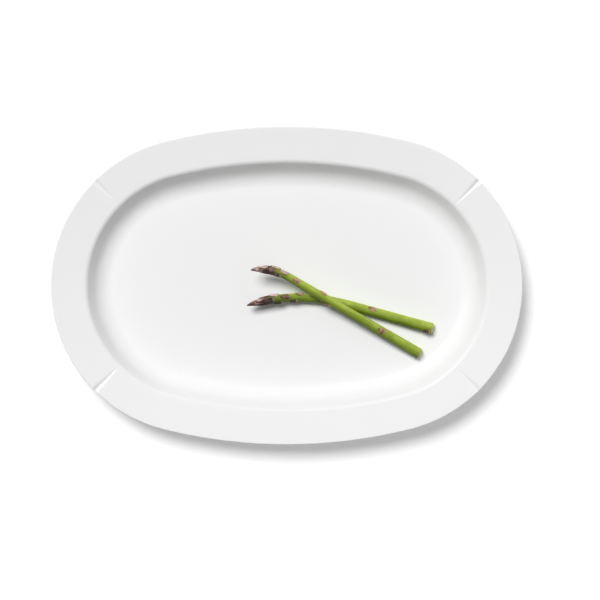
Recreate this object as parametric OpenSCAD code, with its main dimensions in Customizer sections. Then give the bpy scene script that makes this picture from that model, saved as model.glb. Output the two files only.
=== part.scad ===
// Oval porcelain serving plate with two green asparagus spears, one laid across the other.
// The origin is the middle of the foot's underside, with +X along the plate and +Z up.

/* [Plate] */
// Length over the rim
plate_length = 400; // [340:5:460]
// Width over the rim
plate_width = 270; // [230:5:310]
// Height of the rim's edge above the table
plate_height = 28; // [24:0.5:36]
// Half of the angle that each round end takes up
end_arc_angle = 76; // [70:1:80]

/* [Rim] */
// Width from the edge to the shoulder
rim_width = 30; // [24:1:36]
// Rise from the shoulder to the edge
rim_rise = 3; // [1:0.5:5]
// Thickness of the rim
rim_thickness = 4.5; // [3:0.5:6]
// Rounding of the edge on top
lip_radius = 1; // [0.6:0.1:2]
// Rounding of the edge underneath
lip_under_radius = 2; // [1:0.25:2.5]
// Rounding over the shoulder
shoulder_radius = 5; // [3:0.5:8]

/* [Well] */
// Thickness of the floor
floor_thickness = 5; // [4:0.5:7]
// Thickness of the wall
wall_thickness = 5; // [4:0.5:7]
// Slope of the wall from the level
wall_slope = 58; // [50:1:68]
// Rounding where the wall meets the floor
well_radius = 18; // [15:1:30]

/* [Foot] */
// Height of the foot ring
foot_height = 2.5; // [1.5:0.5:4]
// Width of the foot ring's underside
foot_width = 5; // [3.5:0.5:8]
// Slope of the foot ring's sides from the level
foot_slope = 80; // [70:1:86]
// Rounding of the foot ring's edges
foot_edge_radius = 0.8; // [0.4:0.1:1.2]

/* [Rim grooves] */
// Angle of each groove from the plate's length, about the middle of the round end
groove_angle = 45; // [30:1:60]
// Length from the edge inwards
groove_length = 28; // [15:1:30]
// Width at the edge
groove_width = 4.4; // [2:0.2:8]
// Depth at the edge
groove_depth = 1.8; // [0.8:0.1:2.2]
// Dip of the outline where a groove runs out
groove_notch = 0.5; // [0.2:0.1:0.8]

/* [Lower spear] */
// Length from the cut end to the tip
lower_length = 159; // [140:1:170]
// Thickness at the cut end
lower_butt_d = 9.6; // [7:0.2:12]
// Thickness below the head
lower_neck_d = 7.4; // [6:0.2:9]
// Length of the head
lower_head_length = 28; // [24:1:34]
// Distance of the cut end in from the plate's right-hand end
lower_butt_end_in = 75; // [70:1:90]
// Distance of the cut end in from the plate's front edge
lower_butt_front_in = 98; // [90:1:110]
// Direction in which it points
lower_heading = 164.3; // [158:0.1:168]
// Length of straight stalk before the bend
lower_straight = 68; // [40:1:90]
// Sideways bend at the tip
lower_bend = 24; // [0:1:30]
// Lift of the tip off the floor
lower_lift = 8; // [3:0.5:10]

/* [Upper spear] */
// Length from the cut end to the tip
upper_length = 162; // [150:1:175]
// Thickness at the cut end
upper_butt_d = 9.4; // [7:0.2:11]
// Thickness below the head
upper_neck_d = 6.8; // [6:0.2:9]
// Length of the head
upper_head_length = 25; // [22:1:32]
// Direction in which it points
upper_heading = 149.6; // [146:0.1:152]
// Length of straight stalk before the bend
upper_straight = 127; // [110:1:140]
// Sideways bend at the tip
upper_bend = 11.5; // [0:0.5:15]
// Distance of the crossing from the lower spear's cut end
lower_cross = 92.5; // [85:0.5:100]
// Distance of the crossing from this spear's cut end
upper_cross = 90.5; // [80:0.5:96]

/* [Heads] */
// Bracts on each head
bract_count = 16; // [12:1:18]
// Length of a bract
bract_length = 9; // [7:0.5:10]
// Thickness of a bract
bract_thickness = 0.4; // [0.3:0.05:0.6]
// Angle that half a bract takes up round the head
bract_half_angle = 50; // [40:1:54]

/* [Scale leaves] */
// Length of a scale leaf on the stalk
scale_length = 7; // [5:0.5:9]
// Thickness of a scale leaf
scale_thickness = 0.5; // [0.3:0.05:0.8]
// Angle that half a scale leaf takes up round the stalk
scale_half_angle = 36; // [25:1:45]

/* [Cut ends] */
// How far the knife's cut runs out of square
cut_slant = 1.3; // [0:0.1:1.6]

/* [Clearances] */
// Gap between a spear and what it lies on
spear_seat = 0.25; // [0.2:0.05:0.4]
// Gap between a leaf and what it grows on
leaf_seat = 0.15; // [0.12:0.01:0.25]

/* [Hidden] */

// Turn from one leaf to the next up a shoot
leaf_turn = 137.5;
// Angle round each shoot of its lowest bract, with 90 on top
lower_bract_start = 105;
upper_bract_start = 122;
// Scale leaves: share of the shoot's length up to the leaf's foot, and angle round the shoot
lower_scale_shares = [0.012, 0.325, 0.717, 0.748];
lower_scale_angles = [38, 124, 146, 34];
upper_scale_shares = [0.223, 0.543, 0.587, 0.744];
upper_scale_angles = [98, 18, 148, 97];
// Share of the head over which the bracts' feet spread, and of its length that they start before it
bract_spread_share = 1;
bract_start_share = 0.22;
// How closely the bracts crowd together towards the tip, and the next one that lies over another
bract_crowding = 1.6;
bract_lap = 2.7;
// The loose bracts on the neck are narrower: the lowest one's share of the width, and their number
bract_low_share = 0.74;
bract_low_count = 5;
// Rows of a leaf, as shares of its length
leaf_row_shares = [0, 0.05, 0.15, 0.32, 0.56, 0.8, 1];
// Share of its length at which a leaf is widest, and of its width at the foot and at the point
leaf_belly_share = 0.3;
leaf_foot_share = 0.5;
leaf_point_share = 0.1;
// Share of its thickness that a leaf keeps at its edges
leaf_edge_share = 0.45;
// Greatest share of the rim's thickness that the rounding of each edge takes
lip_share = 0.45;
// Share of the groove's width that its sides keep where it runs out
groove_end_share = 0.15;
// How late along the shoot its bend comes
bend_power = 2.5;
// Shares of the bud's thickness that it loses up to the tip, and of the head that is left over it
bud_taper_share = 0.3;
bud_point_share = 0.06;
// Greatest share of the way to the tip that a bract takes up
bract_reach_share = 0.92;
// Share of the head that closes to the tip, share of its thickness left there, and its roundness
closing_share = 0.64;
closing_point_share = 0.12;
closing_power = 1.6;
// Share of the butt's radius that the knife's edge takes off
cut_bevel_share = 0.1;

fillet_steps = 5;
well_steps = 7;
end_steps = 20;
corner_steps = 4;
side_steps = 10;
stalk_sides = 16;
stalk_steps = 16;
bud_steps = 7;
leaf_rows = len(leaf_row_shares) - 1;
leaf_columns = 5;

// Four-arc oval: the round ends and the flatter sides share a tangent where they meet
half_length = plate_length / 2;
half_width = plate_width / 2;
arc_reach = (half_length - half_width) / (cos(end_arc_angle) + sin(end_arc_angle) - 1);
end_centre = arc_reach * cos(end_arc_angle);
side_centre = arc_reach * sin(end_arc_angle);
end_radius = half_length - end_centre;
side_radius = end_radius + arc_reach;

// Heights and corners of the plate's section, as distance in from the edge and height
floor_z = foot_height + floor_thickness;
shoulder_z = plate_height - rim_rise;
rim_fall = rim_rise / rim_width;
wall_fall = tan(wall_slope);
wall_level = wall_thickness / sin(wall_slope);
under_in = (rim_thickness - rim_rise + (rim_width - wall_level) * wall_fall) / (wall_fall - rim_fall);
foot_in = rim_width - wall_level + (shoulder_z - foot_height) / wall_fall;
foot_draft = foot_height / tan(foot_slope);
edge_top = [0, plate_height];
edge_under = [0, plate_height - rim_thickness];
shoulder = [rim_width, shoulder_z];
well_corner = [rim_width + (shoulder_z - floor_z) / wall_fall, floor_z];
floor_middle = [half_width, floor_z];
under_corner = [under_in, plate_height - rim_thickness - under_in * rim_fall];
foot_top = [foot_in, foot_height];
foot_outer = [foot_in + foot_draft, 0];
foot_inner = [foot_in + foot_draft + foot_width, 0];
foot_recess = [foot_in + foot_width + 2 * foot_draft, foot_height];
under_radius = shoulder_radius + rim_thickness;
edge_radius = min(lip_radius, rim_thickness * lip_share);
edge_under_radius = min(lip_under_radius, rim_thickness * lip_share);
// The well's rounding takes no more of the wall than the shoulder's leaves
wall_run = (shoulder_z - floor_z) / sin(wall_slope);
well_rounding = min(well_radius, wall_run / tan(wall_slope / 2) - shoulder_radius);

// Where each shoot's head starts
lower_neck = lower_length - lower_head_length;
upper_neck = upper_length - upper_head_length;

// The lower spear lies flat on the floor, so its middle line falls with its taper
lower_butt_r = lower_butt_d / 2;
lower_neck_r = lower_neck_d / 2;
lower_climb = asin((lower_neck_r - lower_butt_r) / lower_neck);
lower_butt = [half_length - lower_butt_end_in, lower_butt_front_in - half_width,
    floor_z + spear_seat + lower_butt_r];
lower_spear = [lower_butt, lower_heading, lower_climb, lower_length, lower_straight, lower_bend,
    lower_lift, lower_butt_r, lower_neck_r, lower_neck];

// The upper spear's cut end rests on the floor and its stalk on the lower spear, where they cross
upper_butt_r = upper_butt_d / 2;
upper_neck_r = upper_neck_d / 2;
cross_point = middle(lower_spear, lower_cross);
cross_way = heading_at(lower_spear, lower_cross);
cross_angle = cross_way - upper_heading;
cross_upper_r = upper_butt_r + (upper_neck_r - upper_butt_r) * upper_cross / upper_neck;
cross_apart = skin(lower_spear, lower_cross) + cross_upper_r + spear_seat;
upper_butt_z = floor_z + spear_seat + upper_butt_r;
cross_rise = cross_point.z - upper_butt_z;
cross_spread = cross_apart / sin(cross_angle);
cross_run = upper_cross * upper_cross - cross_spread * cross_spread;
cross_root = pow(cross_rise * upper_cross, 2) - cross_run * (cross_rise * cross_rise - cross_apart * cross_apart);
upper_climb = atan((cross_rise * upper_cross + sqrt(cross_root)) / cross_run);
upper_butt = [cross_point.x - upper_cross * cos(upper_heading),
    cross_point.y - upper_cross * sin(upper_heading), upper_butt_z];
upper_spear = [upper_butt, upper_heading, upper_climb, upper_length, upper_straight, upper_bend,
    0, upper_butt_r, upper_neck_r, upper_neck];

function number(i) = i < 10 ? str("0", i) : str(i);
function names(stem, count) = [for (i = [1:count]) str(stem, number(i))];

function unit(v) = v / norm(v);
function clamp(x) = min(1, max(0, x));
function flat(lists) = [for (list = lists) each list];

// Points of a rounding of radius r in the corner at b, on the way from a to c
function fillet(a, b, c, r, steps) =
    let (
        back = unit(a - b),
        on = unit(c - b),
        half = acos(back * on) / 2,
        centre = b + unit(back + on) * r / sin(half),
        first = b + back * r / tan(half) - centre,
        turn = (back.x * on.y - back.y * on.x > 0 ? -1 : 1) * (180 - 2 * half),
        start = atan2(first.y, first.x)
    )
    [for (i = [0:steps])
        centre + r * [cos(start + turn * i / steps), sin(start + turn * i / steps)]];

// Closed solid through rings of points, with flat ends
module loft(rings) {
    count = len(rings[0]);
    last = len(rings) - 1;
    polyhedron(points = flat(rings), faces = concat(
        [[for (j = [count - 1:-1:0]) j]],
        [[for (j = [0:count - 1]) last * count + j]],
        flat([for (i = [0:last - 1], j = [0:count - 1])
            let (a = i * count + j, b = i * count + (j + 1) % count)
            [[a, b, b + count], [a, b + count, a + count]]])));
}

// Closed solid between two grids of points, for a leaf: the outer grid, then the inner one
module leaf_shell(outer, inner) {
    rows = len(outer) - 1;
    columns = len(outer[0]) - 1;
    stride = columns + 1;
    under = (rows + 1) * stride;
    side = [for (i = [0:rows - 1]) [[i * stride, under + i * stride, (i + 1) * stride],
        [under + i * stride, under + (i + 1) * stride, (i + 1) * stride]]];
    other = [for (i = [0:rows - 1]) let (a = i * stride + columns)
        [[a, a + stride, under + a], [under + a, a + stride, under + a + stride]]];
    foot = [for (j = [0:columns - 1])
        [[j, j + 1, under + j], [under + j, j + 1, under + j + 1]]];
    point = [for (j = [0:columns - 1]) let (a = rows * stride + j)
        [[a, under + a, a + 1], [under + a, under + a + 1, a + 1]]];
    skins = [for (i = [0:rows - 1], j = [0:columns - 1])
        let (a = i * stride + j, b = a + stride)
        [[a, b, a + 1], [a + 1, b, b + 1],
        [under + a, under + a + 1, under + b], [under + a + 1, under + b + 1, under + b]]];
    polyhedron(points = concat(flat(outer), flat(inner)),
        faces = concat(flat(side), flat(other), flat(foot), flat(point), flat(skins)));
}

// Share of a groove that is left at a distance in from the edge
function groove_left(in) = clamp(1 - in / groove_length);

// Plate's section from the floor out over the rim and back under to the foot's recess.
// Each point has its distance in from the edge, its height, and 1 where a groove can cut it.
function cut_by_groove(points, cut) = [for (p = points) [p.x, p.y, cut]];
section = concat(
    cut_by_groove(fillet(floor_middle, well_corner, shoulder, well_rounding, well_steps), 0),
    cut_by_groove(fillet(well_corner, shoulder, edge_top, shoulder_radius, fillet_steps), 1),
    cut_by_groove(fillet(shoulder, edge_top, edge_under, edge_radius, fillet_steps), 1),
    cut_by_groove(fillet(edge_top, edge_under, under_corner, edge_under_radius, fillet_steps), 0),
    cut_by_groove(fillet(edge_under, under_corner, foot_top, under_radius, fillet_steps), 0),
    cut_by_groove([foot_top], 0),
    cut_by_groove(fillet(foot_top, foot_outer, foot_inner, foot_edge_radius, 2), 0),
    cut_by_groove(fillet(foot_outer, foot_inner, foot_recess, foot_edge_radius, 2), 0),
    cut_by_groove([foot_recess], 0));

// Stations round the outline: the arc's centre, its radius, the angle there, and for a groove
// its side, which is -1 or 1 at its edges and 0 along its bottom
groove_half = atan2(groove_width / 2, end_radius);
function between(from, to, steps) = [for (i = [1:steps - 1]) from + (to - from) * i / steps];
function groove_stations(centre, angle) =
    [for (side = [-1, 0, 1]) [centre, end_radius, angle, side]];
function plain_stations(centre, radius, angles) = [for (a = angles) [centre, radius, a, undef]];
function end_stations(x, turn) =
    let (centre = [x, 0], low = turn - groove_angle, high = turn + groove_angle)
    concat(
        plain_stations(centre, end_radius, [turn - end_arc_angle]),
        plain_stations(centre, end_radius,
            between(turn - end_arc_angle, low - groove_half, corner_steps)),
        groove_stations(centre, low),
        plain_stations(centre, end_radius, between(low + groove_half, high - groove_half, end_steps)),
        groove_stations(centre, high),
        plain_stations(centre, end_radius,
            between(high + groove_half, turn + end_arc_angle, corner_steps)),
        plain_stations(centre, end_radius, [turn + end_arc_angle]));
function side_stations(y, turn) = plain_stations([0, y], side_radius,
    between(turn - 90 + end_arc_angle, turn + 90 - end_arc_angle, side_steps));
stations = concat(end_stations(end_centre, 0), side_stations(-side_centre, 90),
    end_stations(-end_centre, 180), side_stations(side_centre, 270));

// Point of the plate's surface at a station and a point of the section
function plate_point(station, p) =
    let (
        groove = is_num(station[3]),
        left = groove_left(p.x),
        angle = station[2] + (!groove ? 0 : station[3] * groove_half
            * (p[2] == 1 ? max(left, groove_end_share) : 1)),
        cut = groove && station[3] == 0 && p[2] == 1 && left > 0,
        in = cut ? max(p.x, groove_notch) : p.x,
        bottom = plate_height - in * rim_fall - groove_depth * left,
        r = station[1] - in
    )
    [station[0].x + r * cos(angle), station[0].y + r * sin(angle), cut ? min(p.y, bottom) : p.y];

// Porcelain plate: one fired piece with a rim, a well and a foot ring
module plate() {
    color("white") loft([for (p = section) [for (s = stations) plate_point(s, p)]]);
}

// A spear is a list: cut end, heading, climb, length, straight length, bend, lift, radius at the
// cut end, radius at the neck, and distance of the neck from the cut end
function way(spear) = [cos(spear[1]) * cos(spear[2]), sin(spear[1]) * cos(spear[2]), sin(spear[2])];
function bent(spear, s, power) = pow(max(0, (s - spear[4]) / (spear[3] - spear[4])), power);
function middle(spear, s) = spear[0] + s * way(spear)
    + bent(spear, s, bend_power) * [-sin(spear[1]) * spear[5], cos(spear[1]) * spear[5], spear[6]];
function tangent(spear, s) =
    let (rate = bend_power * bent(spear, s, bend_power - 1) / (spear[3] - spear[4]))
    unit(way(spear) + rate * [-sin(spear[1]) * spear[5], cos(spear[1]) * spear[5], spear[6]]);
function heading_at(spear, s) = let (t = tangent(spear, s)) atan2(t.y, t.x);

// Share of its thickness that a head still has, as its bud and bracts close to the tip
function closing(spear, s) =
    let (left = clamp((spear[3] - s) / ((spear[3] - spear[9]) * closing_share)))
    closing_point_share + (1 - closing_point_share) * (1 - pow(1 - left, closing_power));

// Radius of the stalk, and past the neck of the bud inside the bracts
function skin(spear, s) =
    let (along = (s - spear[9]) / (spear[3] - spear[9]))
    s < spear[9] ? spear[7] + (spear[8] - spear[7]) * s / spear[9]
    : spear[8] * (1 - bud_taper_share * clamp(along)) * closing(spear, s);

// Point at an angle round a spear and a distance from its middle line
function around(spear, s, angle, r) =
    let (t = tangent(spear, s), side = unit(cross([0, 0, 1], t)), up = cross(t, side))
    middle(spear, s) + r * (cos(angle) * side + sin(angle) * up);
function ring(spear, s, r, slant = 0) = [for (j = [0:stalk_sides - 1])
    let (angle = -360 * j / stalk_sides)
    around(spear, s + slant * (1 + sin(angle)) / 2, angle, r)];

// Stalk from its slanting cut end to the neck
module stalk(spear) {
    bevel = spear[7] * cut_bevel_share;
    color("yellowgreen") loft(concat(
        [ring(spear, 0, spear[7] - bevel, cut_slant)],
        [for (i = [0:stalk_steps])
            let (s = bevel + (spear[9] - bevel) * i / stalk_steps)
            ring(spear, s, skin(spear, s), i == 0 ? cut_slant : 0)]));
}

// Bud at the heart of the head, from the neck to the point
module bud(spear) {
    head = spear[3] - spear[9] - leaf_seat;
    color("rosybrown") loft([for (i = [0:bud_steps])
        let (s = spear[9] + leaf_seat + head * (1 - bud_point_share) * i / bud_steps)
        ring(spear, s, skin(spear, s))]);
}

// Half width of a leaf at a share of its length, as a share of its greatest half width
function leaf_outline(v) = v < leaf_belly_share
    ? leaf_foot_share + (1 - leaf_foot_share) * sin(90 * v / leaf_belly_share)
    : max(leaf_point_share, sqrt(cos(90 * (v - leaf_belly_share) / (1 - leaf_belly_share))));

// Pointed leaf that hugs a spear from its foot at s0, and stands off it by stand(s)
module leaf(spear, s0, angle, size, half_angle, thickness, stand) {
    function grid(outer) = [for (row = leaf_row_shares) [for (j = [0:leaf_columns])
        let (
            s = s0 + size * row,
            across = 2 * j / leaf_columns - 1,
            body = leaf_edge_share + (1 - leaf_edge_share) * cos(90 * across),
            off = leaf_seat + stand(s) + (outer ? thickness * body : 0)
        )
        around(spear, s, angle + across * half_angle * leaf_outline(row),
            skin(spear, s) + off * closing(spear, s))]];
    leaf_shell(grid(true), grid(false));
}

// Distance of a bract's foot along a spear, and the other way round the bract whose foot is there
function bract_start(spear) = spear[9] - (spear[3] - spear[9]) * bract_start_share;
function bract_spread(spear) = (spear[3] - spear[9]) * bract_spread_share;
function bract_foot(spear, i) = bract_start(spear)
    + bract_spread(spear) * (1 - pow(1 - i / (bract_count - 1), bract_crowding));
function bract_at(spear, s) = let (up = clamp((s - bract_start(spear)) / bract_spread(spear)))
    (bract_count - 1) * (1 - pow(1 - up, 1 / bract_crowding));

// Bract of a head, counted from the neck: each lies over the feet of those further up
module bract(spear, turn, i) {
    foot = bract_foot(spear, i);
    size = min(bract_length, (spear[3] - foot) * bract_reach_share);
    width_share = bract_low_share + (1 - bract_low_share) * clamp(i / bract_low_count);
    layer = (bract_thickness + leaf_seat) / bract_lap;
    color("thistle") leaf(spear, foot, turn + leaf_turn * i, size, bract_half_angle * width_share,
        bract_thickness, function(s) layer * (bract_at(spear, s) - i));
}

// Scale leaf on a stalk, at a share of the spear's length
module scale_leaf(spear, share, angle) {
    color("tan") leaf(spear, spear[3] * share, angle, scale_length, scale_half_angle, scale_thickness,
        function(s) 0);
}

plate();
stalk(lower_spear);  // lower_stalk
bud(lower_spear);  // lower_bud
stalk(upper_spear);  // upper_stalk
bud(upper_spear);  // upper_bud
for (i = [0:bract_count - 1]) {
    bract(lower_spear, lower_bract_start, i);
    bract(upper_spear, upper_bract_start, i);
}
for (i = [0:len(lower_scale_shares) - 1])
    scale_leaf(lower_spear, lower_scale_shares[i], lower_scale_angles[i]);
for (i = [0:len(upper_scale_shares) - 1])
    scale_leaf(upper_spear, upper_scale_shares[i], upper_scale_angles[i]);
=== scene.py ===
"""Oval porcelain plate with two crossed asparagus spears, laid out as a Blender add-on."""

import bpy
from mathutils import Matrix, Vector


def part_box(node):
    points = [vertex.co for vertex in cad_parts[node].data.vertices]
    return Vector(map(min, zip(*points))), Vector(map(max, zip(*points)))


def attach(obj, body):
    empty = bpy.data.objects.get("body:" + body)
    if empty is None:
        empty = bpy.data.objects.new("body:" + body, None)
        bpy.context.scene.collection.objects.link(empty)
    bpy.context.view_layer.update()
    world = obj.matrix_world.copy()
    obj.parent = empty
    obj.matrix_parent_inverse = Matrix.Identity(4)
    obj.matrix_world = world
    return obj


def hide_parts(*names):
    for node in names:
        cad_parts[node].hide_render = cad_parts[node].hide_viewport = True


bl_info = {
    "name": "Asparagus Plate",
    "version": (1, 0, 0),
    "blender": (4, 5, 0),
    "location": "3D View > Sidebar > Asparagus Plate",
    "description": "Models an oval porcelain plate with two crossed asparagus spears on it",
    "category": "Add Mesh",
}

import math
import random

import bmesh
import bpy
from mathutils import Vector

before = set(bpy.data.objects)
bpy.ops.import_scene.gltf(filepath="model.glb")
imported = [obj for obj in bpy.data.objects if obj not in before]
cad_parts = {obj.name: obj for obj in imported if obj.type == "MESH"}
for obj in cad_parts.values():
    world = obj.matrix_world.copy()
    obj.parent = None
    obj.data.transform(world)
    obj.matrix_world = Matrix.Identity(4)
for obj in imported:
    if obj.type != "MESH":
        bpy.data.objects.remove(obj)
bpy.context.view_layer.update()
PLATE_LOW, PLATE_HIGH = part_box("plate")

MM = 0.001
MERGE_DISTANCE = 0.02 * MM
GOLDEN_TURN = math.radians(137.5)
UP = Vector((0.0, 0.0, 1.0))

# How a spear bends, and how its head tapers and closes to the tip
BEND_POWER = 2.5
HEAD_TAPER = 0.3
CLOSING_SHARE = 0.64
CLOSING_POWER = 1.6
TIP_SHARE = 0.12

# Rings of a spear's mesh, and rounds of the search for a point's place on it
RING_POINTS = 40
STALK_STEPS = 72
STALK_START = 0.012
BUD_STEPS = 26
BUD_GAP = 0.003 * MM
BUD_REACH = 0.98
BUD_CROWDING = 1.3
SEARCH_ROUNDS = 6

# Share of the plate's end radius, in from the edge, where the floor goes on as one flat face
FLAT_START = 0.75

# A groove's vee, in half widths, and the flanks that the glaze softens beside it
GROOVE_REACH = 2.2
GROOVE_CROWDING = 1.5
GROOVE_INNER_WIDTH = 0.45
FLANK_SHARE = 0.4
FLANK_DECAY = 1.5
VEE_SHARE = 0.3
VEE_REACH = 1.35
VEE_SOFTNESS = 0.02

# Section of a leaf, in shares of its thickness and half width, and how it bulges and lifts along
LEAF_EDGE = 0.32
LEAF_CROWN = 0.59
KEEL_HEIGHT = 0.04
KEEL_WIDTH = 0.12
BLADE_SHARE = 0.9
BLADE_EDGE = 0.35
BULGE_POWER = 0.8
LIFT_START = 0.6
BRACT_BULGE = 0.45 * MM
BRACT_LIFT = 0.5 * MM
SCALE_BULGE = 0.12 * MM

# Painted light that makes the upper stalk paler along its way, and painted shade that makes the lower
# one darker
ALONG_LIGHT_AND_SHADE = {"lower": -0.12, "upper": 0.18}
# Painted shade that makes the lower head's bracts darker than the upper head's
PAINTED_BRACT_SHADE = {"lower": -0.2, "upper": 0.0}

# Node groups that more than one material uses
MOTTLE = "skin mottle"
GREEN_SKIN = "green skin"

# The stage
CAMERA_PLACE = Vector((0.01118, -0.01228, 1.9))
KEY_FROM = Vector((-0.2868, 0.4096, 0.8660))
FLOOR_WHITE = (0.82, 0.82, 0.82)
FLOOR_GLOW = 0.265
SKY_LIGHT = 0.07


def size(name, text, metres):
    """Property for a length."""
    return bpy.props.FloatProperty(
        name=name, description=text, default=metres, unit="LENGTH", precision=5
    )


def turn(name, text, degrees):
    """Property for an angle, which Blender keeps in radians."""
    return bpy.props.FloatProperty(
        name=name, description=text, default=math.radians(degrees), subtype="ANGLE", unit="ROTATION"
    )


def share(name, text, value):
    """Property for a plain factor."""
    return bpy.props.FloatProperty(name=name, description=text, default=value, subtype="FACTOR")


def tint(name, text, red, green, blue):
    """Property for a colour, in linear light."""
    return bpy.props.FloatVectorProperty(
        name=name,
        description=text,
        default=(red, green, blue),
        subtype="COLOR",
        size=3,
        min=0.0,
        max=1.0,
    )


class PlateSizes(bpy.types.PropertyGroup):
    """Sizes of the porcelain plate."""

    length: size("Length", "Length over the rim", PLATE_HIGH.x - PLATE_LOW.x)
    width: size("Width", "Width over the rim", PLATE_HIGH.y - PLATE_LOW.y)
    height: size("Height", "Height of the rim's edge", PLATE_HIGH.z - PLATE_LOW.z)
    end_arc: turn("End arc", "Half the angle that each round end takes up", 76)
    rim_width: size("Rim width", "Width of the rim, in to the shoulder", 30 * MM)
    rim_rise: size("Rim rise", "Rise of the rim from the shoulder to its edge", 3 * MM)
    rim_thickness: size("Rim thickness", "Thickness of the rim", 4.5 * MM)
    lip_radius: size("Lip radius", "Rounding of the rim's upper edge", 1 * MM)
    lip_under_radius: size("Lip under radius", "Rounding of the rim's lower edge", 2 * MM)
    shoulder_radius: size("Shoulder radius", "Rounding between the rim and the well", 5 * MM)
    floor_thickness: size("Floor thickness", "Thickness of the well's floor", 5 * MM)
    wall_thickness: size("Wall thickness", "Thickness of the well's wall", 5 * MM)
    wall_slope: turn("Wall slope", "Slope of the well's wall", 58)
    well_radius: size("Well radius", "Rounding between the wall and the floor", 18 * MM)
    foot_height: size("Foot height", "Height of the foot ring", 2.5 * MM)
    foot_width: size("Foot width", "Width of the foot ring", 5 * MM)
    foot_slope: turn("Foot slope", "Slope of the foot ring's sides", 80)
    foot_edge: size("Foot edge", "Rounding of the foot ring's edges", 0.8 * MM)
    groove_angle: turn("Groove angle", "Place of the grooves round each end", 45)
    groove_length: size("Groove length", "Length of a groove, in from the edge", 28 * MM)
    groove_width: size("Groove width", "Width of a groove at the edge", 4.4 * MM)
    groove_depth: size("Groove depth", "Depth of a groove at the edge", 1.8 * MM)
    groove_notch: size("Groove notch", "Notch that a groove leaves in the edge", 0.5 * MM)


class LowerSpearSizes(bpy.types.PropertyGroup):
    """Line and sizes of the spear that lies on the floor of the well."""

    butt_x: size("Cut end X", "Middle of the cut end", 125 * MM)
    butt_y: size("Cut end Y", "Middle of the cut end", -37 * MM)
    butt_z: size("Cut end Z", "Middle of the cut end", 12.55 * MM)
    heading: turn("Heading", "Way that the stalk points", 164.3)
    climb: turn("Climb", "Slope of the stalk", -0.4811)
    length: size("Length", "Length from the cut end to the point", 159 * MM)
    straight: size("Straight", "Length before the stalk bends", 68 * MM)
    bend: size("Bend", "How far the point is bent to the side", 24 * MM)
    lift: size("Lift", "How far the point is bent up", 8 * MM)
    butt_radius: size("Butt radius", "Radius at the cut end", 4.8 * MM)
    neck_radius: size("Neck radius", "Radius at the neck", 3.7 * MM)
    neck: size("Neck", "Distance of the neck from the cut end", 131 * MM)
    first_bract: turn("First bract", "Place of the lowest bract round the neck", 105)


class UpperSpearSizes(bpy.types.PropertyGroup):
    """Line and sizes of the spear that lies across the other."""

    butt_x: size("Cut end X", "Middle of the cut end", 113.767 * MM)
    butt_y: size("Cut end Y", "Middle of the cut end", -58.635 * MM)
    butt_z: size("Cut end Z", "Middle of the cut end", 12.45 * MM)
    heading: turn("Heading", "Way that the stalk points", 149.6)
    climb: turn("Climb", "Slope of the stalk", 5.0559)
    length: size("Length", "Length from the cut end to the point", 162 * MM)
    straight: size("Straight", "Length before the stalk bends", 127 * MM)
    bend: size("Bend", "How far the point is bent to the side", 11.5 * MM)
    lift: size("Lift", "How far the point is bent up", 0)
    butt_radius: size("Butt radius", "Radius at the cut end", 4.7 * MM)
    neck_radius: size("Neck radius", "Radius at the neck", 3.4 * MM)
    neck: size("Neck", "Distance of the neck from the cut end", 137 * MM)
    first_bract: turn("First bract", "Place of the lowest bract round the neck", 122)


class LeafSizes(bpy.types.PropertyGroup):
    """Sizes of the bracts of the heads and of the scale leaves on the stalks."""

    bract_length: size("Bract length", "Length of a bract", 9 * MM)
    bract_half: turn("Bract half angle", "Half the angle that a bract wraps", 50)
    bract_thickness: size("Bract thickness", "Thickness along a bract's middle", 0.4 * MM)
    bract_start: share("Bract start", "Share of the head that the bracts start before it", 0.22)
    bract_crowding: share("Bract crowding", "How closely the bracts crowd towards the tip", 1.6)
    bract_lap: share("Bract lap", "How many bracts further on the next layer lies", 2.7)
    bract_low: share("Low bract", "Share of its width that the lowest bract has", 0.74)
    bract_reach: share("Bract reach", "Greatest share of the way to the tip for a bract", 0.92)
    scale_length: size("Scale length", "Length of a scale leaf", 7 * MM)
    scale_half: turn("Scale half angle", "Half the angle that a scale leaf wraps", 36)
    scale_thickness: size("Scale thickness", "Thickness along a scale leaf's middle", 0.5 * MM)
    seat: size("Seat", "Gap between a leaf and what it lies on", 0.15 * MM)
    slant: size("Slant", "How far the knife's cut runs out of square", 1.3 * MM)


class Finishes(bpy.types.PropertyGroup):
    """Colours of the glaze and of the plants."""

    glaze: tint("Glaze", "White of the glaze", 0.9, 0.902, 0.9)
    bare_clay: tint("Bare clay", "Unglazed sole of the foot ring", 0.74, 0.71, 0.66)
    # This pale green also paints light on a stalk's sunny side
    stalk_pale_and_sunlit: tint("Stalk light", "Pale green of a stalk's sunny side", 0.42, 0.52, 0.075)
    stalk_green: tint("Stalk green", "Main green of a stalk", 0.19, 0.27, 0.013)
    # This deep green also paints shade on a stalk's shaded side and at its neck
    stalk_deep_and_shaded: tint("Stalk deep", "Deep green of a stalk's shaded side", 0.095, 0.135, 0.007)
    flesh: tint("Flesh", "Cut flesh of a stalk", 0.60, 0.68, 0.22)
    # This pale pink also paints light on a bract's sunny side
    bract_pale_and_sunlit: tint("Bract pale", "Pale pink of a bract's sunny side", 0.60, 0.44, 0.37)
    bract_rose: tint("Bract rose", "Purple brown of a bract", 0.2, 0.11, 0.085)
    # This dark brown is a bract's real point, and also paints shade on its edges and shaded side
    bract_dark_and_shaded: tint("Bract dark", "Dark brown of a bract's point and shaded side", 0.028, 0.014, 0.011)
    leaf_foot: tint("Leaf foot", "Pale green of a leaf's foot", 0.38, 0.32, 0.14)
    # This pale pink also paints light on a scale leaf's sunny side
    scale_pink_and_sunlit: tint("Scale pink", "Pale pink of a scale leaf's sunny side", 0.58, 0.34, 0.25)
    scale_brown: tint("Scale brown", "Red brown of a scale leaf", 0.28, 0.105, 0.075)


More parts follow.
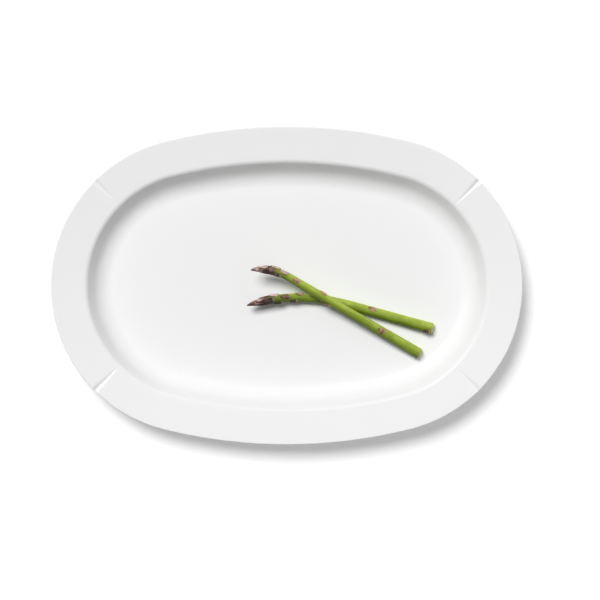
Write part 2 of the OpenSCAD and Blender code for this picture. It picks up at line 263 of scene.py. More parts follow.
class Spear:
    """Middle line and skin of a spear, by distance from its cut end."""

    def __init__(self, sizes):
        self.sizes = sizes
        level = math.cos(sizes.climb)
        east = math.cos(sizes.heading)
        north = math.sin(sizes.heading)
        self.way = Vector((east * level, north * level, math.sin(sizes.climb)))
        self.butt = Vector((sizes.butt_x, sizes.butt_y, sizes.butt_z))
        self.pull = Vector((-north * sizes.bend, east * sizes.bend, sizes.lift))
        self.head = sizes.length - sizes.neck
        self.curved = sizes.length - sizes.straight

    def bent(self, s, power):
        """Power of the share of the bend that lies behind a distance."""
        return max(0.0, (s - self.sizes.straight) / self.curved) ** power

    def middle(self, s):
        """Point of the middle line."""
        return self.butt + self.way * s + self.pull * self.bent(s, BEND_POWER)

    def axes(self, s):
        """Unit vectors across the middle line, to the side and up."""
        rate = BEND_POWER * self.bent(s, BEND_POWER - 1) / self.curved
        along = (self.way + self.pull * rate).normalized()
        side = UP.cross(along).normalized()
        return side, along.cross(side)

    def skin(self, s):
        """Radius of the stalk, or of the bud above the neck."""
        sizes = self.sizes
        if s < sizes.neck:
            return sizes.butt_radius + (sizes.neck_radius - sizes.butt_radius) * s / sizes.neck
        along = min(1.0, (s - sizes.neck) / self.head)
        return sizes.neck_radius * (1 - HEAD_TAPER * along) * self.closing(s)

    def closing(self, s):
        """Share of its thickness that the head still has, as it closes to the tip."""
        left = min(1.0, max(0.0, (self.sizes.length - s) / (self.head * CLOSING_SHARE)))
        return TIP_SHARE + (1 - TIP_SHARE) * (1 - (1 - left) ** CLOSING_POWER)

    def point(self, s, angle, radius):
        """Point at an angle round the middle line."""
        side, up = self.axes(s)
        return self.middle(s) + (side * math.cos(angle) + up * math.sin(angle)) * radius


def start_piece(name):
    """Names the new primitive, which is the active object, and opens it in edit mode."""
    piece = bpy.context.object
    piece.name = name
    piece.data.name = name
    bpy.ops.object.mode_set(mode="EDIT")
    return piece


def clear_selection():
    """Leaves nothing selected, in object mode."""
    if bpy.context.mode != "OBJECT":
        bpy.ops.object.mode_set(mode="OBJECT")
    bpy.ops.object.select_all(action="DESELECT")


def make_active(piece):
    """Leaves only this piece selected."""
    clear_selection()
    piece.select_set(True)
    bpy.context.view_layer.objects.active = piece


def close_piece(piece):
    """Merges doubles, turns the faces outwards and goes back to object mode."""
    bpy.ops.mesh.select_all(action="SELECT")
    bpy.ops.mesh.remove_doubles(threshold=MERGE_DISTANCE)
    bpy.ops.mesh.normals_make_consistent(inside=False)
    bpy.ops.object.mode_set(mode="OBJECT")
    if not piece.data.polygons:
        raise RuntimeError(piece.name + " has no faces")


def hand_over(piece, node, body, materials):
    """Gives a finished piece its materials and its place in the frame."""
    piece.data.materials.clear()
    for material in materials:
        piece.data.materials.append(material)
    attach(piece, body)
    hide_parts(node)


def rounding(a, b, c, radius, steps):
    """Points of an arc that rounds the corner at b, on the way from a to c."""
    back = (a - b).normalized()
    ahead = (c - b).normalized()
    half = back.angle(ahead) / 2
    centre = b + (back + ahead).normalized() * radius / math.sin(half)
    first = b + back * radius / math.tan(half) - centre
    sweep = math.pi - 2 * half
    if back.x * ahead.y - back.y * ahead.x > 0:
        sweep = -sweep
    start = math.atan2(first.y, first.x)
    points = []
    for i in range(steps + 1):
        angle = start + sweep * i / steps
        points.append(centre + Vector((math.cos(angle), math.sin(angle))) * radius)
    return points


def between(a, b, steps):
    """Points that divide the way from a to b, without its ends."""
    return [a.lerp(b, i / steps) for i in range(1, steps)]


class PlateForm:
    """Four-arc oval and section of the plate."""

    def __init__(self, sizes):
        self.sizes = sizes
        half_length = sizes.length / 2
        half_width = sizes.width / 2
        cosine = math.cos(sizes.end_arc)
        sine = math.sin(sizes.end_arc)
        reach = (half_length - half_width) / (cosine + sine - 1)
        self.end_centre = reach * cosine
        self.side_centre = reach * sine
        self.end_radius = half_length - self.end_centre
        self.rim_fall = sizes.rim_rise / sizes.rim_width
        self.inner = self.end_radius * FLAT_START
        self.groove_half = math.atan2(sizes.groove_width / 2, self.end_radius)
        self.groove_zone = GROOVE_REACH * self.groove_half

    def section(self):
        """Points as distance in from the edge and height, and the ones that a groove can cut."""
        sizes = self.sizes
        floor_z = sizes.foot_height + sizes.floor_thickness
        shoulder_z = sizes.height - sizes.rim_rise
        fall = math.tan(sizes.wall_slope)
        level = sizes.wall_thickness / math.sin(sizes.wall_slope)
        under_drop = sizes.rim_thickness - sizes.rim_rise + (sizes.rim_width - level) * fall
        under_in = under_drop / (fall - self.rim_fall)
        foot_in = sizes.rim_width - level + (shoulder_z - sizes.foot_height) / fall
        draft = sizes.foot_height / math.tan(sizes.foot_slope)
        floor_middle = Vector((self.inner, floor_z))
        well_corner = Vector((sizes.rim_width + (shoulder_z - floor_z) / fall, floor_z))
        shoulder = Vector((sizes.rim_width, shoulder_z))
        edge_top = Vector((0.0, sizes.height))
        edge_under = Vector((0.0, sizes.height - sizes.rim_thickness))
        under_corner = Vector((under_in, sizes.height - sizes.rim_thickness - under_in * self.rim_fall))
        foot_top = Vector((foot_in, sizes.foot_height))
        foot_outer = Vector((foot_in + draft, 0.0))
        foot_inner = Vector((foot_in + draft + sizes.foot_width, 0.0))
        recess = Vector((foot_in + 2 * draft + sizes.foot_width, sizes.foot_height))
        recess_middle = Vector((self.inner, sizes.foot_height))

        well = rounding(floor_middle, well_corner, shoulder, sizes.well_radius, 16)
        bend = rounding(well_corner, shoulder, edge_top, sizes.shoulder_radius, 12)
        lip = rounding(shoulder, edge_top, edge_under, sizes.lip_radius, 10)
        lip_under = rounding(edge_top, edge_under, under_corner, sizes.lip_under_radius, 8)
        under_radius = sizes.shoulder_radius + sizes.rim_thickness
        under = rounding(edge_under, under_corner, foot_top, under_radius, 10)
        hollow = rounding(under_corner, foot_top, foot_outer, sizes.foot_edge, 4)
        sole_outer = rounding(foot_top, foot_outer, foot_inner, sizes.foot_edge, 5)
        sole_inner = rounding(foot_outer, foot_inner, recess, sizes.foot_edge, 5)
        hollow_inner = rounding(foot_inner, recess, recess_middle, sizes.foot_edge, 4)

        inside = [floor_middle] + between(floor_middle, well[0], 4) + well
        inside += between(well[-1], bend[0], 3)
        rim = bend + between(bend[-1], lip[0], 12) + lip
        below = lip_under + between(lip_under[-1], under[0], 5) + under
        below += between(under[-1], hollow[0], 4)
        foot = hollow + sole_outer + sole_inner + hollow_inner + [recess_middle]
        points = inside + rim + below + foot
        return points, range(len(inside), len(inside) + len(rim))

    def arcs(self):
        """Sweeps round the outline, each with its centre, its angle and its steps."""
        sizes = self.sizes
        corner = sizes.end_arc - sizes.groove_angle - self.groove_zone
        groove = 2 * self.groove_zone
        middle = 2 * (sizes.groove_angle - self.groove_zone)
        end = [(corner, 16), (groove, 32), (middle, 44), (groove, 32), (corner, 16)]
        side = math.pi - 2 * sizes.end_arc
        made = []
        for sign in (1, -1):
            made += [(Vector((sign * self.end_centre, 0, 0)), angle, steps) for angle, steps in end]
            made.append((Vector((0, -sign * self.side_centre, 0)), side, 24))
        return made

    def cut_groove(self, co, inset):
        """New place of a point of the rim, where one of the four grooves runs through it."""
        sizes = self.sizes
        sign = 1 if co.x > 0 else -1
        centre = Vector((sign * self.end_centre, 0, 0))
        angle = math.atan2(co.y, sign * (co.x - centre.x))
        groove = math.copysign(sizes.groove_angle, angle)
        place = (angle - groove) / self.groove_zone
        if abs(place) > 1.001:
            return co
        left = max(0.0, 1 - inset / sizes.groove_length)
        far = GROOVE_REACH * min(1.0, abs(place)) ** GROOVE_CROWDING
        end = math.exp(-FLANK_DECAY * GROOVE_REACH)
        vee = FLANK_SHARE * (math.exp(-FLANK_DECAY * far) - end) / (1 - end)
        fade = 1 - far / VEE_REACH
        fade += math.sqrt(fade * fade + VEE_SOFTNESS)
        vee += VEE_SHARE * fade * min(1.0, GROOVE_REACH - far)
        width = self.groove_half * (GROOVE_INNER_WIDTH + (1 - GROOVE_INNER_WIDTH) * left)
        moved = groove + math.copysign(far, place) * width
        inset = max(inset, sizes.groove_notch * min(1.0, vee))
        bottom = sizes.height - inset * self.rim_fall - sizes.groove_depth * left * vee
        radius = self.end_radius - inset
        x = centre.x + sign * radius * math.cos(moved)
        return Vector((x, radius * math.sin(moved), min(co.z, bottom)))


def model_plate(sizes):
    """Draws the plate's section, sweeps it round the oval's four arcs and cuts the grooves."""
    form = PlateForm(sizes)
    points, rim = form.section()
    clear_selection()
    bpy.ops.mesh.primitive_plane_add(size=sizes.rim_width, location=(0, 0, 0))
    piece = start_piece("plate_porcelain")
    bpy.ops.mesh.merge(type="CENTER")
    start = -sizes.end_arc
    chain = []
    for point in points:
        radius = form.end_radius - point.x
        x = form.end_centre + radius * math.cos(start)
        chain.append(Vector((x, radius * math.sin(start), point.y)))
    mesh = bmesh.from_edit_mesh(piece.data)
    mesh.verts.ensure_lookup_table()
    mesh.verts[0].co = chain[0]
    mesh.verts[0].select_set(True)
    bmesh.update_edit_mesh(piece.data)
    for previous, point in zip(chain, chain[1:]):
        bpy.ops.mesh.extrude_region_move(TRANSFORM_OT_translate={"value": point - previous})

    mesh = bmesh.from_edit_mesh(piece.data)
    inset = mesh.verts.layers.float.new("inset")
    for i, vert in enumerate(mesh.verts):
        vert[inset] = points[i].x if i in rim else -1.0
    bmesh.update_edit_mesh(piece.data)
    bpy.ops.mesh.select_all(action="SELECT")
    for centre, angle, steps in form.arcs():
        bpy.ops.mesh.spin(steps=steps, angle=angle, center=centre, axis=(0, 0, -1))
    bpy.ops.mesh.select_all(action="SELECT")
    bpy.ops.mesh.remove_doubles(threshold=MERGE_DISTANCE)

    for height in (points[0].y, points[-1].y):
        bpy.ops.mesh.select_all(action="DESELECT")
        mesh = bmesh.from_edit_mesh(piece.data)
        for edge in mesh.edges:
            edge.select_set(edge.is_boundary and abs(edge.verts[0].co.z - height) < 0.5 * MM)
        bmesh.update_edit_mesh(piece.data)
        bpy.ops.mesh.edge_face_add()

    mesh = bmesh.from_edit_mesh(piece.data)
    inset = mesh.verts.layers.float.get("inset")
    for vert in mesh.verts:
        if vert[inset] >= 0.0:
            vert.co = form.cut_groove(vert.co.copy(), vert[inset])
    mesh.verts.layers.float.remove(inset)
    bmesh.update_edit_mesh(piece.data)
    close_piece(piece)
    bpy.ops.object.shade_smooth_by_angle(angle=math.radians(35))
    return piece


def loft_rings(name, rings):
    """Extrudes a circle from ring to ring of points, closes both ends and selects the first."""
    clear_selection()
    bpy.ops.mesh.primitive_circle_add(
        vertices=RING_POINTS, radius=10 * MM, fill_type="NOTHING", location=(0, 0, 0)
    )
    piece = start_piece(name)
    mesh = bmesh.from_edit_mesh(piece.data)
    place = mesh.verts.layers.int.new("place")
    mesh.verts.ensure_lookup_table()
    for i, vert in enumerate(mesh.verts):
        vert[place] = i
        vert.co = rings[0][i]
    bmesh.update_edit_mesh(piece.data)
    for ring in rings[1:]:
        bpy.ops.mesh.extrude_region_move(TRANSFORM_OT_translate={"value": (0, 0, 0)})
        mesh = bmesh.from_edit_mesh(piece.data)
        place = mesh.verts.layers.int.get("place")
        for vert in mesh.verts:
            if vert.select:
                vert.co = ring[vert[place]]
        bmesh.update_edit_mesh(piece.data)
    bpy.ops.mesh.edge_face_add()
    bpy.ops.mesh.select_all(action="DESELECT")
    mesh = bmesh.from_edit_mesh(piece.data)
    mesh.verts.ensure_lookup_table()
    first = set(mesh.verts[:RING_POINTS])
    for edge in mesh.edges:
        edge.select_set(edge.verts[0] in first and edge.verts[1] in first)
    bmesh.update_edit_mesh(piece.data)
    bpy.ops.mesh.edge_face_add()
    return piece


def write_grain(piece, spear, distances):
    """Keeps each point's place round and along the spear, which the streaks and the painted light and
    shade of its skin follow.
    """
    data = piece.data
    grain = data.attributes.new("grain", "FLOAT_VECTOR", "POINT")
    for vert, item in zip(data.vertices, grain.data):
        s, angle = nearest_place(spear, vert.co, distances)
        item.vector = (math.cos(angle), math.sin(angle), s / spear.sizes.length)


def nearest_place(spear, co, distances):
    """Distance along a spear and angle round it of a point near it."""
    s = (co - spear.butt).dot(spear.way)
    s = min(max(s, distances[0]), distances[-1])
    for _ in range(SEARCH_ROUNDS):
        side, up = spear.axes(s)
        s += (co - spear.middle(s)).dot(side.cross(up))
    side, up = spear.axes(s)
    off = co - spear.middle(s)
    return s, math.atan2(off.dot(up), off.dot(side))


def ribs(angle, s):
    """Share of the skin's radius that a stalk has at an angle round it, with its faint ribs."""
    fine = 0.006 * math.cos(9 * angle + 1.3)
    twisted = 0.004 * math.cos(4 * angle + s * 60)
    return 0.992 + fine + twisted


def swellings(angle, s):
    """Share of the skin's radius that a bud has at an angle round it, with its uneven swellings."""
    fine = 0.02 * math.sin(5 * angle + s * 900)
    coarse = 0.015 * math.sin(3 * angle - s * 600)
    return 0.985 + fine + coarse


def model_stalk(name, spear, slant):
    """Lofts a stalk from its cut end to its neck, with faint ribs, and insets the cut."""
    sizes = spear.sizes
    bevel = sizes.butt_radius * 0.1
    cut_fade = 6 * slant
    distances = [0.0, bevel * 0.3, bevel]
    shrink = [0.9, 0.97, 1.0] + [1.0] * (STALK_STEPS + 1)
    for i in range(STALK_STEPS + 1):
        distances.append(sizes.neck * (STALK_START + (1 - STALK_START) * i / STALK_STEPS))
    rings = []
    for s, factor in zip(distances, shrink):
        ring = []
        for j in range(RING_POINTS):
            angle = math.tau * j / RING_POINTS
            cut = slant * max(0.0, 1 - s / cut_fade) * (1 + math.sin(angle)) / 2
            radius = spear.skin(s + cut) * ribs(angle, s) * factor
            ring.append(spear.point(s + cut, angle, radius))
        rings.append(ring)
    piece = loft_rings(name, rings)
    for thickness in (0.6 * MM, 0.8 * MM, 1.0 * MM):
        bpy.ops.mesh.inset(thickness=thickness, depth=0.0)
    close_piece(piece)
    for face in piece.data.polygons:
        near = (face.center - spear.butt).length < sizes.butt_radius * 1.2
        if near and face.normal.dot(spear.way) < -0.7:
            face.material_index = 1
    write_grain(piece, spear, distances)
    bpy.ops.object.shade_smooth_by_angle(angle=math.radians(38))
    return piece


def model_bud(name, spear):
    """Lofts the bud at the heart of a head, from the neck to its point."""
    sizes = spear.sizes
    start = sizes.neck + BUD_GAP
    reach = (sizes.length - start) * BUD_REACH
    ribbed = 5 * MM
    distances = []
    for i in range(BUD_STEPS + 1):
        distances.append(start + reach * (1 - (1 - i / BUD_STEPS) ** BUD_CROWDING))
    rings = []
    for s in distances:
        low = max(0.0, 1 - (s - start) / ribbed)
        ring = []
        for j in range(RING_POINTS):
            angle = math.tau * j / RING_POINTS
            swell = low * ribs(angle, s) + (1 - low) * swellings(angle, s)
            ring.append(spear.point(s, angle, spear.skin(s) * swell))
        rings.append(ring)
    piece = loft_rings(name, rings)
    close_piece(piece)
    write_grain(piece, spear, distances)
    bpy.ops.object.shade_smooth_by_angle(angle=math.radians(45))
    return piece


def model_leaf(name, foot, belly, point, power):
    """Flat leaf of unit length and half width, from its foot at Y 0 to its point at Y 1."""
    clear_selection()
    bpy.ops.mesh.primitive_grid_add(x_subdivisions=12, y_subdivisions=18, size=2, location=(0, 0, 0))
    piece = start_piece(name)
    mesh = bmesh.from_edit_mesh(piece.data)
    for vert in mesh.verts:
        across = vert.co.x
        along = (vert.co.y + 1) / 2
        if along < belly:
            half = foot + (1 - foot) * math.sin(math.pi / 2 * along / belly)
        else:
            half = max(point, math.cos(math.pi / 2 * (along - belly) / (1 - belly)) ** power)
        round_foot = 0.1 * across * across * max(0.0, 1 - along * 3)
        vert.co = (across * half, along + round_foot, 0.0)
    bmesh.update_edit_mesh(piece.data)
    bpy.ops.object.mode_set(mode="OBJECT")
    return piece


def wrap_leaf(leaf, name, spear, place, look, stand):
    """Copies the flat leaf, wraps it round a spear and gives it its thickness.

    place has the distance of the foot, the angle round the spear and the length.
    look has the half angle, the thickness, the bulge, the lean of the point, its lift and the tone.
    stand gives the gap under the leaf at a distance along the spear.
    """
    foot, angle, length = place
    half, thickness, bulge, lean, lift, tone = look
    piece = leaf.copy()
    piece.data = leaf.data.copy()
    piece.name = name
    piece.data.name = name
    bpy.context.scene.collection.objects.link(piece)
    blade = piece.vertex_groups.new(name="blade")
    places = []
    for vert in piece.data.vertices:
        across, along, _ = vert.co
        s = foot + length * along
        crown = 1 - across * across
        keel = KEEL_HEIGHT * math.exp(-((across / KEEL_WIDTH) ** 2)) * (1 - along)
        hump = bulge * math.sin(math.pi * min(1.0, max(0.0, along)) ** BULGE_POWER) * crown
        hump += lift * (max(0.0, along - LIFT_START) / (1 - LIFT_START)) ** 2
        off = stand(s) + hump + thickness * (LEAF_EDGE + LEAF_CROWN * crown + keel)
        turned = angle + across * half + lean * along * along
        vert.co = spear.point(s, turned, spear.skin(s) + off * spear.closing(s))
        places.extend((math.cos(turned), math.sin(turned), s / spear.sizes.length))
        weight = BLADE_EDGE + (1 - BLADE_EDGE) * crown
        blade.add([vert.index], weight * spear.closing(s), "REPLACE")
    piece.data.attributes.new("grain", "FLOAT_VECTOR", "POINT").data.foreach_set("vector", places)
    tones = [tone] * len(piece.data.vertices)
    piece.data.attributes.new("tone", "FLOAT", "POINT").data.foreach_set("value", tones)
    make_active(piece)
    solid = piece.modifiers.new("thickness", "SOLIDIFY")
    solid.thickness = thickness * BLADE_SHARE
    solid.offset = -1.0
    solid.vertex_group = "blade"
    bpy.ops.object.modifier_apply(modifier="thickness")
    smooth = piece.modifiers.new("smooth", "SUBSURF")
    smooth.levels = 1
    smooth.render_levels = 1
    bpy.ops.object.modifier_apply(modifier="smooth")
    bpy.ops.object.mode_set(mode="EDIT")
    close_piece(piece)
    bpy.ops.object.shade_smooth()
    return piece


def nodes_named(stem):
    """Names of the CAD nodes that start with a stem, in order."""
    found = sorted(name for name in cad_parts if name.startswith(stem))
    if not found:
        raise RuntimeError("the frame has no node named " + stem)
    return found


def spears(scene):
    """The two spears, each with its name and its body."""
    return [
        ("lower", "lower_spear", Spear(scene.lower_spear_sizes)),
        ("upper", "upper_spear", Spear(scene.upper_spear_sizes)),
    ]


class Tree:
    """Shader nodes of a material, a world or a group. A value is a socket to link or what to set."""

    def __init__(self, tree):
        self.nodes = tree.nodes
        self.links = tree.links

    def put(self, value, socket):
        """Links a socket to an input, or sets the input to a number, a vector or a colour."""
        if isinstance(value, bpy.types.NodeSocket):
            self.links.new(value, socket)
        elif socket.type == "RGBA":
            socket.default_value = (*value, 1.0)
        else:
            socket.default_value = value

    def fill(self, sockets, *values):
        """Puts each value into its input."""
        for value, socket in zip(values, sockets):
            self.put(value, socket)

    def add(self, kind, settings=None, **inputs):
        """Node of a kind, with its settings and its inputs, whose names have _ for a space."""
        node = self.nodes.new("ShaderNode" + kind)
        for key, value in (settings or {}).items():
            setattr(node, key, value)
        for key, value in inputs.items():
            self.put(value, node.inputs[key.replace("_", " ")])
        return node

    def work(self, operation, *values):
        """Result of a math node."""
        node = self.add("Math", {"operation": operation})
        self.fill(node.inputs, *values)
        return node.outputs[0]

    def total(self, first, *weighted):
        """First socket plus each of the others times its weight."""
        for socket, weight in weighted:
            first = self.work("MULTIPLY_ADD", socket, weight, first)
        return first

    def blend(self, factor, first, second):
        """Mix of two colours."""
        mix = self.add("Mix", {"data_type": "RGBA"})
        self.fill((mix.inputs[0], mix.inputs[6], mix.inputs[7]), factor, first, second)
        return mix.outputs[2]

    def blend_numbers(self, factor, first, second):
        """Mix of two numbers."""
        mix = self.add("Mix")
        self.fill((mix.inputs[0], mix.inputs[2], mix.inputs[3]), factor, first, second)
        return mix.outputs[0]

    def step(self, value, low, high, to_low=0.0, to_high=1.0):
        """Smooth step of a value."""
        node = self.add("MapRange", {"interpolation_type": "SMOOTHSTEP"}, Value=value)
        ends = [node.inputs[key] for key in ("From Min", "From Max", "To Min", "To Max")]
        self.fill(ends, low, high, to_low, to_high)
        return node.outputs["Result"]

    def coords(self):
        """Place in the piece's own space."""
        return self.add("TexCoord").outputs["Object"]

    def mottle(self, vector, blotch, speck):
        """Blotches and specks of the mottle group, at their scales."""
        group = bpy.data.node_groups.get(MOTTLE) or mottle_group()
        node = self.add("Group", {"node_tree": group}, Vector=vector)
        self.fill((node.inputs["Blotch Scale"], node.inputs["Speck Scale"]), blotch, speck)
        return node.outputs["Blotch"], node.outputs["Speck"]

    def green(self, looks, painted_along):
        """Outputs of the green skin's group, with a stalk's colours and the painted light or shade
        along it.
        """
        group = bpy.data.node_groups.get(GREEN_SKIN) or green_group()
        node = self.add("Group", {"node_tree": group}, Ripe=painted_along)
        colours = (looks.stalk_deep_and_shaded, looks.stalk_green, looks.stalk_pale_and_sunlit)
        self.fill([node.inputs[key] for key in ("Deep", "Green", "Light")], *colours)
        return node.outputs

    def streaks(self, vector, stretch, **looks):
        """Noise that is drawn out along one way."""
        drawn = self.add("Mapping", Vector=vector, Scale=stretch).outputs["Vector"]
        return self.add("TexNoise", Vector=drawn, **looks).outputs["Fac"]

    def grain(self):
        """Place on a spear: its sunny side from 0 to 1 for painted light, the share along it, and the
        raw vector.
        """
        raw = self.add("Attribute", {"attribute_name": "grain"}).outputs["Vector"]
        split = self.add("SeparateXYZ", Vector=raw)
        sunny = self.add("MapRange", Value=split.outputs["X"], From_Min=1.0, From_Max=-1.0)
        return sunny.outputs["Result"], split.outputs["Z"], raw

    def seen_directly(self):
        """Socket that is 1 for camera, glossy and transmission rays."""
        path = self.add("LightPath").outputs
        seen = self.work("MAXIMUM", path["Is Camera Ray"], path["Is Glossy Ray"])
        return self.work("MAXIMUM", seen, path["Is Transmission Ray"])

    def finish(self, colour, roughness, reflection, height, strength, depth):
        """Gives the Principled shader its colour, roughness and reflection, and a bump by height."""
        shader = self.nodes["Principled BSDF"]
        bump = self.add("Bump", Height=height, Strength=strength, Distance=depth)
        self.put(colour, shader.inputs["Base Color"])
        self.put(roughness, shader.inputs["Roughness"])
        self.put(reflection, shader.inputs["Specular IOR Level"])
        self.put(bump.outputs["Normal"], shader.inputs["Normal"])


def new_material(name):
    """Material with an empty Principled shader, and its nodes."""
    material = bpy.data.materials.new(name)
    material.use_nodes = True
    return material, Tree(material.node_tree)


def new_group(name, inputs, outputs):
    """Empty node group with sockets by name and kind, its nodes, what enters it and what leaves."""
    group = bpy.data.node_groups.new(name, "ShaderNodeTree")
    for way, sockets in (("INPUT", inputs), ("OUTPUT", outputs)):
        for socket, kind in sockets.items():
            group.interface.new_socket(socket, in_out=way, socket_type="NodeSocket" + kind)
    enter = group.nodes.new("NodeGroupInput").outputs
    leave = group.nodes.new("NodeGroupOutput").inputs
    return group, Tree(group), enter, leave


def mottle_group():
    """Node group with soft blotches and fine specks, for any skin."""
    inputs = {"Vector": "Vector", "Blotch Scale": "Float", "Speck Scale": "Float"}
    group, tree, enter, leave = new_group(MOTTLE, inputs, {"Blotch": "Float", "Speck": "Float"})
    for spots, detail in (("Blotch", 3.0), ("Speck", 5.0)):
        noise = tree.add("TexNoise", Vector=enter["Vector"], Detail=detail, Roughness=0.6)
        tree.put(enter[spots + " Scale"], noise.inputs["Scale"])
        tree.put(tree.step(noise.outputs["Fac"], 0.35, 0.65), leave[spots])
    return group


def green_group():
    """Node group with green skin, streaked along, with painted shade that makes it deep on one side
    and painted light that makes it pale on the sunny one.

    Its last input is how much painted light makes the skin paler along the stalk, or painted shade
    makes it darker; painted shade also darkens it at the neck, under the lowest bracts.
    """
    inputs = {"Deep": "Color", "Green": "Color", "Light": "Color", "Ripe": "Float"}
    outputs = {"Skin": "Color", "Streak": "Float", "Speck": "Float", "Along": "Float"}
    group, tree, enter, leave = new_group(GREEN_SKIN, inputs, outputs)
    sunny, along, grain = tree.grain()
    streak = tree.streaks(grain, (2.6, 2.6, 11.0), Scale=1.6, Detail=7.0, Roughness=0.72)
    blotch, speck = tree.mottle(tree.coords(), 90.0, 900.0)
    foot = tree.step(along, 0.30, 0.0)
    # Painted light or painted shade along the stalk
    painted_stretch = tree.step(along, 0.35, 0.75)
    # Painted shade at the neck, under the lowest bracts
    neck = tree.step(along, 0.79, 0.86)
    # The sunny side gets painted light and the other side painted shade
    tone = tree.total(sunny, (streak, 1.0), (blotch, 0.12), (foot, 0.08))
    tone = tree.total(tone, (painted_stretch, enter["Ripe"]), (neck, -0.3))
    skin = tree.blend(tree.step(tone, 0.6, 1.05), enter["Deep"], enter["Green"])
    skin = tree.blend(tree.step(tone, 1.0, 1.55), skin, enter["Light"])
    tree.fill([leave[key] for key in outputs], skin, streak, speck, along)
    return group


def dim(colour, factor):
    """Colour times a factor."""
    return [part * factor for part in colour]


def porcelain_material(looks):
    """White glaze with a faint ripple, and bare clay on the sole of the foot."""
    material, tree = new_material("porcelain glaze")
    coords = tree.coords()
    blotch, speck = tree.mottle(coords, 5.0, 260.0)
    glaze = tree.blend(blotch, looks.glaze, dim(looks.glaze, 0.997))
    clay = tree.blend(speck, looks.bare_clay, dim(looks.bare_clay, 0.9))
    height = tree.add("SeparateXYZ", Vector=coords).outputs["Z"]
    sole = tree.step(height, 0.12 * MM, 0.4 * MM, 1.0, 0.0)
    rough = tree.blend_numbers(sole, tree.step(blotch, 0.0, 1.0, 0.275, 0.285), 0.7)
    tree.finish(tree.blend(sole, glaze, clay), rough, 0.12, speck, 0.015, 0.2 * MM)
    return material


def stalk_material(name, looks, painted_along):
    """Green skin of a stalk with its fine streaks, and painted light and shade round and along it."""
    material, tree = new_material(name + " stalk skin")
    green = tree.green(looks, painted_along)
    rough = tree.step(green["Speck"], 0.0, 1.0, 0.36, 0.48)
    tree.finish(green["Skin"], rough, 0.25, green["Streak"], 0.5, 0.3 * MM)
    return material


def flesh_material(looks):
    """Pale cut flesh with fibre dots."""
    material, tree = new_material("cut flesh")
    coords = tree.coords()
    dots = tree.add("TexVoronoi", Vector=coords, Scale=1100.0).outputs["Distance"]
    fibre = tree.step(dots, 0.12, 0.34, 0.75, 0.0)
    blotch, speck = tree.mottle(coords, 500.0, 1800.0)
    pale = tree.blend(blotch, looks.flesh, dim(looks.flesh, 0.85))
    colour = tree.blend(fibre, pale, looks.stalk_green)
    tree.finish(colour, tree.step(speck, 0.0, 1.0, 0.4, 0.6), 0.5, fibre, 0.3, 0.2 * MM)
    return material


def bud_material(name, looks, painted_along):
    """Heart of a head: green like the stalk at the neck, with its painted light and shade, purple brown
    above.
    """
    material, tree = new_material(name + " bud heart")
    green = tree.green(looks, painted_along)
    speck = green["Speck"]
    purple = tree.blend(speck, looks.bract_dark_and_shaded, looks.bract_rose)
    tip = tree.step(tree.total(green["Along"], (speck, 0.015)), 0.855, 0.93)
    skin = tree.blend(tip, green["Skin"], purple)
    rough = tree.step(speck, 0.0, 1.0, 0.38, 0.52)
    tree.finish(skin, rough, 0.25, green["Streak"], 0.5, 0.3 * MM)
    return material


def leaf_material(name, colours, sides, shade):
    """Papery leaf: dark at its point, with painted shade on its edges and on the shaded side, and
    painted light that makes it pale on the sunny side.

    colours are its pale, main and dark one and its foot's. sides is the weight of the painted light
    and shade by its side of the spear, and shade lightens it; a negative one is painted shade.
    """
    pale, main, dark, foot = colours
    material, tree = new_material(name)
    sunny, along, _ = tree.grain()
    flat = tree.add("UVMap").outputs["UV"]
    split = tree.add("SeparateXYZ", Vector=flat).outputs
    vein = tree.streaks(flat, (17.0, 1.6, 1.0), Scale=1.0, Detail=5.0, Roughness=0.65)
    blotch, speck = tree.mottle(tree.coords(), 210.0, 1300.0)
    aside = tree.work("PINGPONG", split["X"], 0.5)
    crown = tree.step(aside, 0.0, 0.5)
    # Painted shade on the leaf's edges, for the shade between neighbouring leaves
    edge_shade = tree.step(aside, 0.14, 0.0)
    ending = tree.step(split["Y"], 0.6, 1.0)
    low = tree.step(along, 0.84, 0.93, 0.0, 0.6)
    rooted = tree.step(tree.total(split["Y"], (vein, 0.3), (low, 0.4)), 0.42, 0.2)

    tone = tree.add("Attribute", {"attribute_name": "tone"}).outputs["Fac"]
    # Painted light on the sunny side and painted shade on the other
    side = tree.work("MULTIPLY", sunny, sides)
    level = tree.total(side, (vein, 0.9), (blotch, 0.65), (tone, 1.0), (edge_shade, -0.55), (ending, -0.35))
    skin = tree.blend(tree.step(level, 0.85 - shade, 1.35 - shade), dark, main)
    skin = tree.blend(tree.step(level, 1.35 - shade, 1.9 - shade), skin, pale)
    skin = tree.blend(rooted, skin, foot)
    rough = tree.step(speck, 0.0, 1.0, 0.42, 0.6)
    tree.finish(skin, rough, 0.3, tree.total(crown, (vein, 0.35)), 0.8, 0.8 * MM)
    return material


class ASPARAGUSPLATE_OT_plate(bpy.types.Operator):
    """Models the porcelain plate with its rim, well, grooves and foot ring"""

    bl_idname = "asparagus_plate.plate"
    bl_label = "Plate"

    def execute(self, context):
        scene = context.scene
        piece = model_plate(scene.plate_sizes)
        hand_over(piece, "plate", "plate", [porcelain_material(scene.plate_finishes)])
        return {"FINISHED"}


